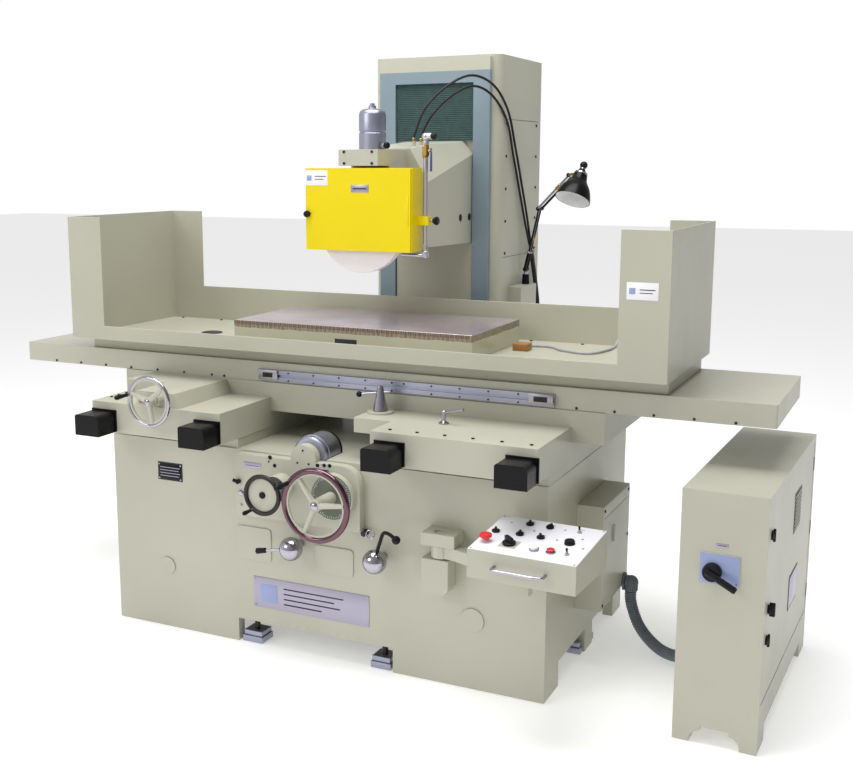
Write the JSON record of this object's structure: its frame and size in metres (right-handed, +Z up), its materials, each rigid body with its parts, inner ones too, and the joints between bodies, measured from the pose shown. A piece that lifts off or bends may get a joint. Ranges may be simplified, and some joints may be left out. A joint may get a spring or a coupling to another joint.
{
  "type": "surface grinder",
  "caption": "Column-type surface grinder: bed, cross saddle, long table with magnetic chuck and splash guard, guarded wheelhead, swinging control pendant, lamp and switch cabinet",
  "frame": {"origin": "middle of the outline on the floor, measured without the conduit between the bed and the cabinet", "axes": "+X along the table to the right as the operator stands, +Y from the operator towards the column, +Z up"},
  "size_m": [3.1336, 2.0276, 2.228],
  "materials": {
    "cream_paint": "satin enamel over smoothed castings",
    "band_paint": "satin blue-grey enamel",
    "yellow_paint": "gloss enamel",
    "black_paint": "satin black enamel",
    "steel": "turned and ground steel",
    "chrome": "polished plating",
    "grit": "fine open abrasive grain",
    "green_cloth": "folded way cover",
    "hose_rubber": "smooth rubber hose",
    "conduit_cover": "ribbed flexible conduit",
    "silver": "cast and plated alloy",
    "black_plastic": "moulded plastic",
    "red_plastic": "moulded plastic",
    "white_plastic": "moulded plastic"
  },
  "bodies": {
    "base": {"bed": "cream_paint", "column": "cream_paint", "column_front_frame": "band_paint", "upper_way_cover": "green_cloth", "feed_box": "cream_paint", "feed_motor": "silver", "side_tank": "cream_paint", "conduit_gland": "silver", "conduit": "conduit_cover", "cabinet_body": "cream_paint", "lube_hoses": "hose_rubber", "pendant_bracket": "cream_paint"},
    "elevating_screw": {"elevating_screw": "steel"},
    "head": {"wheelhead": "cream_paint", "lower_way_cover": "cream_paint", "wheel_guard": "yellow_paint", "coolant_pipe": "steel", "oil_mist_unit": "silver"},
    "wheel": {"spindle": "steel", "grinding_wheel": "grit"},
    "guard_door": {"guard_door": "yellow_paint"},
    "coolant_valve": {"coolant_valve_lever": "steel"},
    "saddle": {"saddle": "cream_paint", "way_cover_1": "black_paint", "way_cover_2": "black_paint", "way_cover_3": "black_paint", "way_cover_4": "black_paint"},
    "table": {"table": "cream_paint", "trip_rail": "silver", "chuck": "steel", "splash_guard": "cream_paint"},
    "table_handwheel": {"table_handwheel": "chrome"},
    "cross_handwheel": {"cross_handwheel": "chrome"},
    "vertical_handwheel": {"vertical_handwheel": "chrome"},
    "feed_lever": {"feed_lever": "chrome"},
    "speed_lever": {"speed_lever": "chrome"},
    "reversing_lever": {"reversing_lever": "chrome"},
    "clamp_lever": {"clamp_lever": "chrome"},
    "pendant": {"pendant_arm": "cream_paint", "pendant_box": "cream_paint", "pendant_handle": "chrome"},
    "lamp_post": {"lamp_post": "black_paint"},
    "lamp_lower_arm": {"lamp_lower_arm": "chrome"},
    "lamp_upper_arm": {"lamp_upper_arm": "chrome"},
    "lamp_shade": {"lamp_shade": "black_paint"},
    "cabinet_door": {"cabinet_door": "cream_paint"},
    "door_latch": {"door_latch": "black_plastic"},
    "main_switch": {"main_switch_lever": "black_plastic"},
    "emergency_stop": {"emergency_stop": "red_plastic"},
    "selector_1": {"selector_1": "black_plastic"},
    "selector_2": {"selector_2": "black_plastic"},
    "selector_3": {"selector_3": "black_plastic"},
    "selector_4": {"selector_4": "black_plastic"},
    "selector_5": {"selector_5": "black_plastic"},
    "feed_toggle": {"feed_toggle": "black_plastic"},
    "main_rotary": {"main_rotary": "black_plastic"},
    "start_button": {"start_button": "white_plastic"},
    "stop_button": {"stop_button": "white_plastic"},
    "speed_dial": {"speed_dial": "black_plastic"},
    "lamp_toggle": {"lamp_toggle": "black_plastic"}
  },
  "joints": [
    {"name": "head_slide", "type": "slide", "parent": "base", "child": "head", "axis": [0, 0, 1], "range_m": [-0.185, 0.08], "deforming": ["upper_way_cover", "lube_hoses"]},
    {"name": "wheel_spin", "type": "hinge", "parent": "head", "child": "wheel", "pos_m": [-0.04083, -0.19917, 1.555], "axis": [0, 1, 0], "continuous": true},
    {"name": "guard_door_hinge", "type": "hinge", "parent": "head", "child": "guard_door", "pos_m": [0.17617, -0.24617, 1.616], "axis": [0, 0, 1], "range_deg": [0, 100]},
    {"name": "coolant_valve_turn", "type": "hinge", "parent": "head", "child": "coolant_valve", "pos_m": [0.22417, -0.16917, 1.832], "axis": [1, 0, 0], "range_deg": [-90, 0]},
    {"name": "saddle_slide", "type": "slide", "parent": "base", "child": "saddle", "axis": [0, 1, 0], "range_m": [-0.35, 0.2]},
    {"name": "table_slide", "type": "slide", "parent": "saddle", "child": "table", "axis": [1, 0, 0], "range_m": [-0.6, 0.6]},
    {"name": "elevating_screw_turn", "type": "hinge", "parent": "base", "child": "elevating_screw", "pos_m": [-0.04083, 0.57083, 1.4], "axis": [0, 0, 1], "range_deg": [-6700, 2920]},
    {"name": "vertical_handwheel_turn", "type": "hinge", "parent": "base", "child": "vertical_handwheel", "pos_m": [0.07417, -0.78917, 0.635], "axis": [0, 1, 0], "range_deg": [-2920, 6700]},
    {"name": "cross_handwheel_turn", "type": "hinge", "parent": "base", "child": "cross_handwheel", "pos_m": [-0.13883, -0.78917, 0.645], "axis": [0, 1, 0], "range_deg": [-12640, 7230]},
    {"name": "table_handwheel_turn", "type": "hinge", "parent": "saddle", "child": "table_handwheel", "pos_m": [-0.61583, -0.78917, 0.936], "axis": [0, 1, 0], "range_deg": [-3460, 3460]},
    {"name": "feed_lever_turn", "type": "hinge", "parent": "base", "child": "feed_lever", "pos_m": [-0.08583, -0.68917, 0.427], "axis": [0, 1, 0], "range_deg": [-30, 30]},
    {"name": "speed_lever_turn", "type": "hinge", "parent": "base", "child": "speed_lever", "pos_m": [0.24917, -0.68917, 0.43], "axis": [0, 1, 0], "range_deg": [-30, 30]},
    {"name": "reversing_lever_turn", "type": "hinge", "parent": "saddle", "child": "reversing_lever", "pos_m": [0.15917, -0.46017, 0.95], "axis": [0, 0, 1], "range_deg": [-25, 25]},
    {"name": "clamp_lever_turn", "type": "hinge", "parent": "saddle", "child": "clamp_lever", "pos_m": [0.43417, -0.52317, 0.93], "axis": [0, 0, 1], "range_deg": [-60, 40]},
    {"name": "pendant_swing", "type": "hinge", "parent": "base", "child": "pendant", "pos_m": [0.48917, -0.66417, 0.54], "axis": [0, 0, 1], "range_deg": [-80, 0]},
    {"name": "lamp_swivel", "type": "hinge", "parent": "base", "child": "lamp_post", "pos_m": [0.27417, 0.75483, 1.29], "axis": [0, 0, 1], "range_deg": [-30, 40]},
    {"name": "lamp_lower_joint", "type": "hinge", "parent": "lamp_post", "child": "lamp_lower_arm", "pos_m": [0.27417, 0.75483, 1.3283], "axis": [0.1805, 0.9836, 0], "range_deg": [-12, 18]},
    {"name": "lamp_upper_joint", "type": "hinge", "parent": "lamp_lower_arm", "child": "lamp_upper_arm", "pos_m": [0.33712, 0.74327, 1.594], "axis": [0.1805, 0.9836, 0], "range_deg": [-20, 20]},
    {"name": "lamp_shade_joint", "type": "hinge", "parent": "lamp_upper_arm", "child": "lamp_shade", "pos_m": [0.48269, 0.71656, 1.738], "axis": [0.1805, 0.9836, 0], "range_deg": [-25, 25]},
    {"name": "cabinet_door_hinge", "type": "hinge", "parent": "base", "child": "cabinet_door", "pos_m": [1.56497, 0.24397, 0.468], "axis": [0, 0, 1], "range_deg": [0, 105]},
    {"name": "door_latch_turn", "type": "hinge", "parent": "cabinet_door", "child": "door_latch", "pos_m": [1.54208, -0.59492, 0.45], "axis": [0.9996, -0.0297, 0], "range_deg": [-90, 0]},
    {"name": "main_switch_turn", "type": "hinge", "parent": "base", "child": "main_switch", "pos_m": [1.38168, -0.67319, 0.566], "axis": [0.0297, 0.9996, 0], "range_deg": [-60, 30]},
    {"name": "emergency_stop_press", "type": "slide", "parent": "pendant", "child": "emergency_stop", "axis": [0.0054, 0.1064, -0.9943], "range_m": [0, 0.004], "stiffness_N_per_m": 300},
    {"name": "selector_1_turn", "type": "hinge", "parent": "pendant", "child": "selector_1", "pos_m": [0.73942, -0.81305, 0.64987], "axis": [-0.0054, -0.1064, 0.9943], "range_deg": [-45, 45]},
    {"name": "selector_2_turn", "type": "hinge", "parent": "pendant", "child": "selector_2", "pos_m": [0.82288, -0.72897, 0.65932], "axis": [-0.0054, -0.1064, 0.9943], "range_deg": [-45, 45]},
    {"name": "selector_3_turn", "type": "hinge", "parent": "pendant", "child": "selector_3", "pos_m": [0.89063, -0.73352, 0.6592], "axis": [-0.0054, -0.1064, 0.9943], "range_deg": [-45, 45]},
    {"name": "selector_4_turn", "type": "hinge", "parent": "pendant", "child": "selector_4", "pos_m": [0.81863, -0.81286, 0.65032], "axis": [-0.0054, -0.1064, 0.9943], "range_deg": [-45, 45]},
    {"name": "selector_5_turn", "type": "hinge", "parent": "pendant", "child": "selector_5", "pos_m": [0.88785, -0.81609, 0.65035], "axis": [-0.0054, -0.1064, 0.9943], "range_deg": [-45, 45]},
    {"name": "feed_toggle_flip", "type": "hinge", "parent": "pendant", "child": "feed_toggle", "pos_m": [0.98773, -0.74002, 0.66336], "axis": [0.9987, -0.0506, 0], "range_deg": [-22, 22]},
    {"name": "main_rotary_turn", "type": "hinge", "parent": "pendant", "child": "main_rotary", "pos_m": [0.81188, -0.89074, 0.64195], "axis": [-0.0054, -0.1064, 0.9943], "range_deg": [-60, 60]},
    {"name": "start_button_press", "type": "slide", "parent": "pendant", "child": "start_button", "axis": [0.0054, 0.1064, -0.9943], "range_m": [0, 0.004], "stiffness_N_per_m": 300},
    {"name": "stop_button_press", "type": "slide", "parent": "pendant", "child": "stop_button", "axis": [0.0054, 0.1064, -0.9943], "range_m": [0, 0.004], "stiffness_N_per_m": 300},
    {"name": "speed_dial_turn", "type": "hinge", "parent": "pendant", "child": "speed_dial", "pos_m": [0.98428, -0.82882, 0.64951], "axis": [-0.0054, -0.1064, 0.9943], "range_deg": [-140, 140]},
    {"name": "lamp_toggle_flip", "type": "hinge", "parent": "pendant", "child": "lamp_toggle", "pos_m": [1.00024, -0.90803, 0.64545], "axis": [0.9987, -0.0506, 0], "range_deg": [-22, 22]}
  ],
  "couplings": [
    {"joint": "elevating_screw_turn", "follows": "head_slide", "rad_per_m": 628.3},
    {"joint": "vertical_handwheel_turn", "follows": "head_slide", "rad_per_m": -628.3},
    {"joint": "cross_handwheel_turn", "follows": "saddle_slide", "rad_per_m": 628.3},
    {"joint": "table_handwheel_turn", "follows": "table_slide", "rad_per_m": 100}
  ]
}
